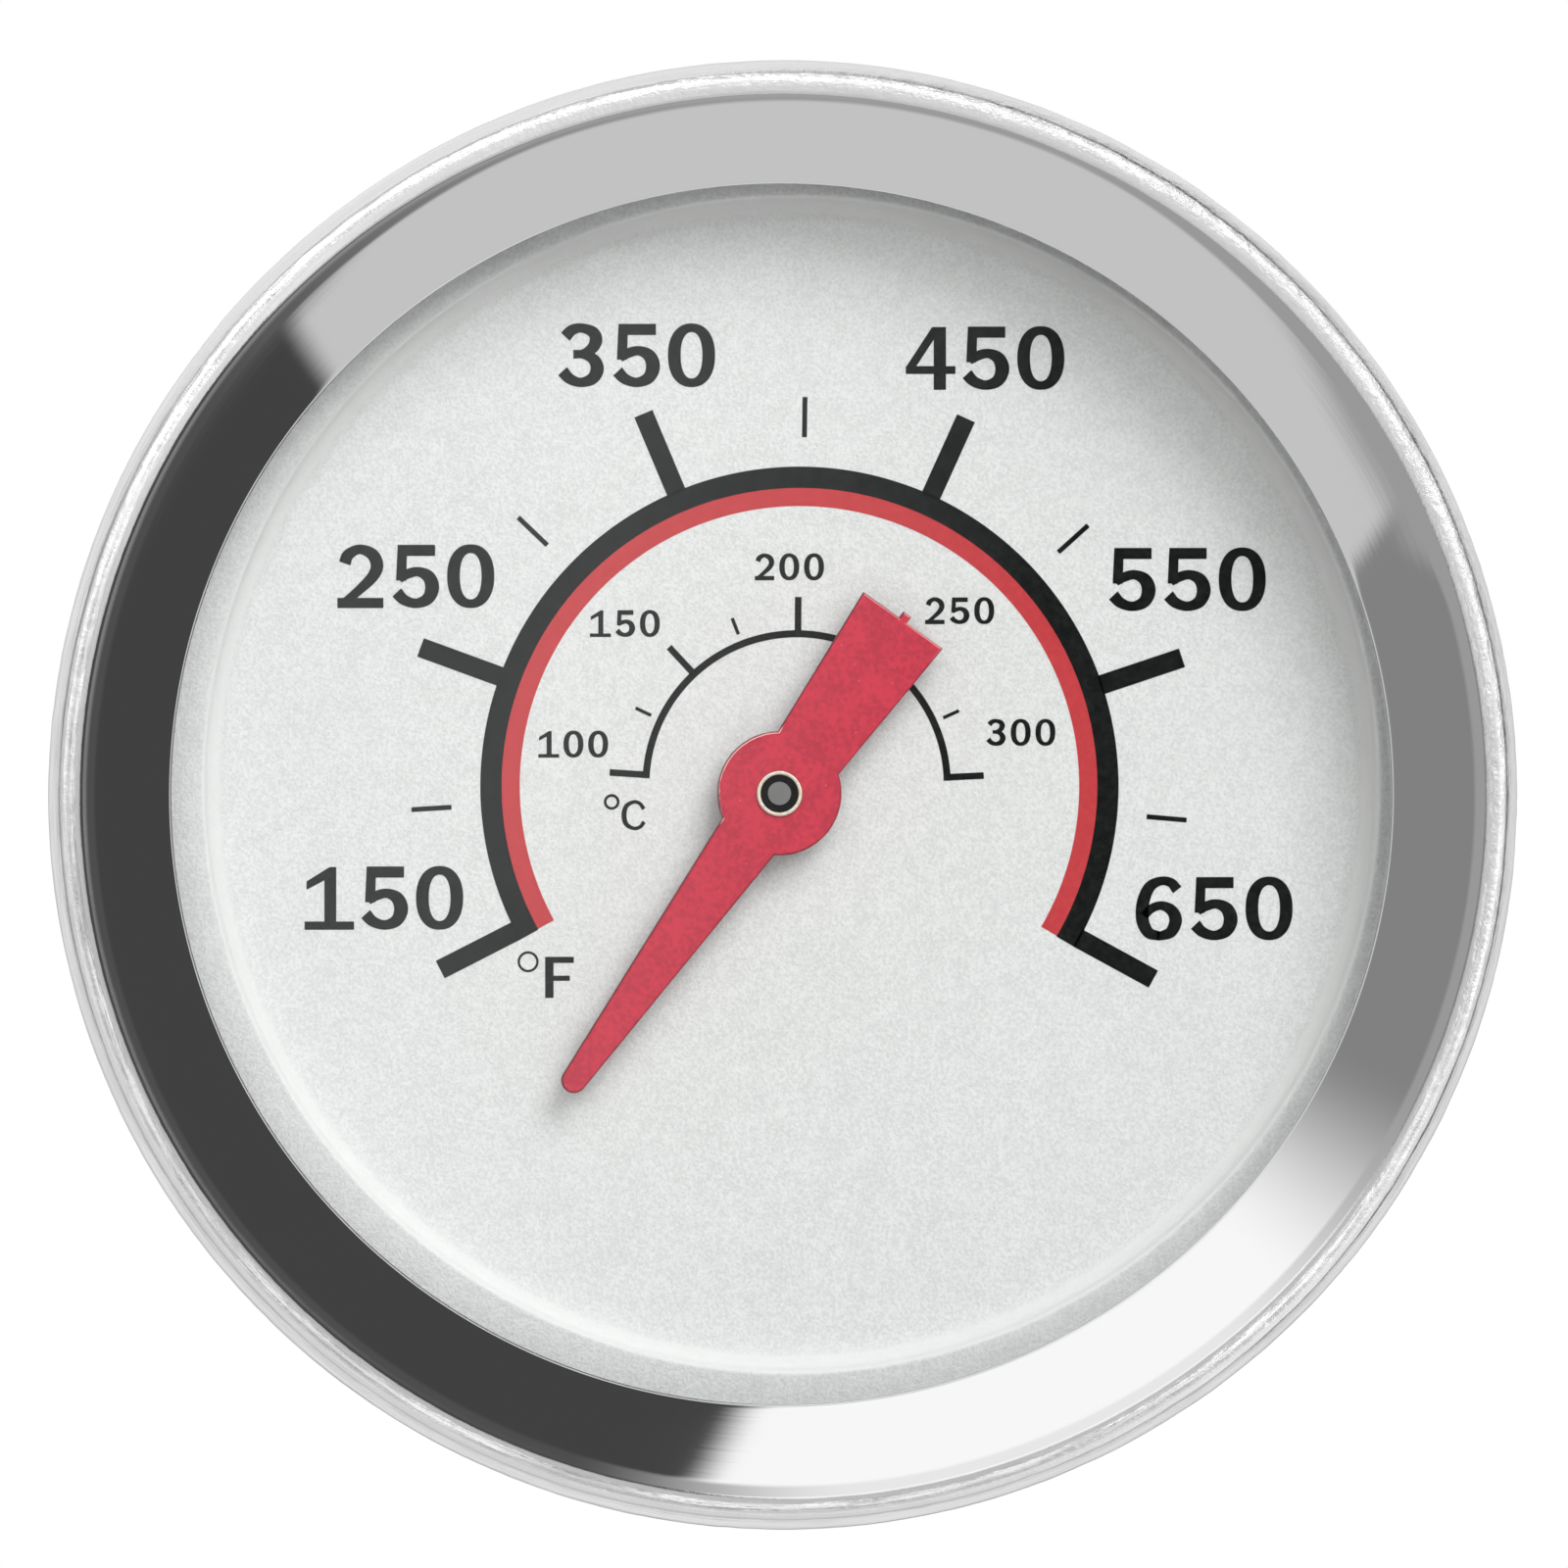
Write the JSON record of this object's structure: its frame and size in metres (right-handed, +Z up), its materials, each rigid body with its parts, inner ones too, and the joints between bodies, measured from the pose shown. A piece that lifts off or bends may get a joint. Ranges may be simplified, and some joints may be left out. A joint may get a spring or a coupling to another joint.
{
  "type": "oven door thermometer",
  "caption": "Round back-entry bimetal dial thermometer: polished bezel, silver dial, red pointer, threaded stud and probe tube with a wing nut for an oven door.",
  "frame": {"origin": "on the instrument's axis, in the plane of the door seal's rear face, where the thermometer rests on the outside of the oven door", "axes": "+Y along the stem into the oven, so the dial looks along -Y; +Z up, towards the top of the scale; +X to the reader's right"},
  "size_m": [0.06, 0.0746, 0.06],
  "materials": {
    "polished_stainless": "mirror-polished stainless steel with fine turning marks",
    "window_glass": "clear flat glass",
    "silicone_black": "matt silicone rubber",
    "silicone_red": "matt heat-proof silicone rubber",
    "dial_silver_paint": "fine-grained silver paint on aluminium sheet",
    "dial_ink_black": "matt black screen print",
    "dial_ink_red": "red screen print",
    "satin_stainless": "satin drawn stainless steel",
    "stud_steel": "turned and threaded stainless steel",
    "zinc_steel": "bright zinc plate",
    "shaft_steel": "drawn steel rod",
    "bimetal_strip": "rolled bimetal strip, faintly straw coloured by heat",
    "brass_turned": "turned brass",
    "pointer_red": "semi-gloss red moulded plastic"
  },
  "bodies": {
    "case": {"bezel_ring": "polished_stainless", "glass_lens": "window_glass", "lens_gasket": "silicone_black", "dial_plate": "dial_silver_paint", "case_cup": "satin_stainless", "mounting_stud": "stud_steel", "door_seal": "silicone_red", "stud_lock_washer": "zinc_steel", "stud_lock_nut": "zinc_steel", "probe_tube": "satin_stainless", "probe_tip": "satin_stainless", "bimetal_coil": "bimetal_strip", "front_bearing": "brass_turned", "rear_bearing": "brass_turned"},
    "pointer_unit": {"pointer": "pointer_red", "pointer_eyelet": "brass_turned", "pointer_shaft": "shaft_steel", "coil_collar": "brass_turned"},
    "washers": {"flat_washer": "zinc_steel", "spring_washer": "zinc_steel"},
    "nut": {"wing_nut": "zinc_steel"}
  },
  "joints": [
    {"name": "pointer_turn", "type": "hinge", "parent": "case", "child": "pointer_unit", "pos_m": [0, 0, 0], "axis": [0, 1, 0], "range_deg": [-28, 287], "deforming": ["bimetal_coil"]},
    {"name": "washer_travel", "type": "slide", "parent": "case", "child": "washers", "axis": [0, 1, 0], "range_m": [-0.004, 0.006]},
    {"name": "wing_nut_spin", "type": "hinge", "parent": "washers", "child": "nut", "pos_m": [0, 0, 0], "axis": [0, 1, 0], "range_deg": [-960, 1440]}
  ],
  "couplings": [
    {"joint": "washer_travel", "follows": "wing_nut_spin", "m_per_rad": 0.00023873}
  ]
}
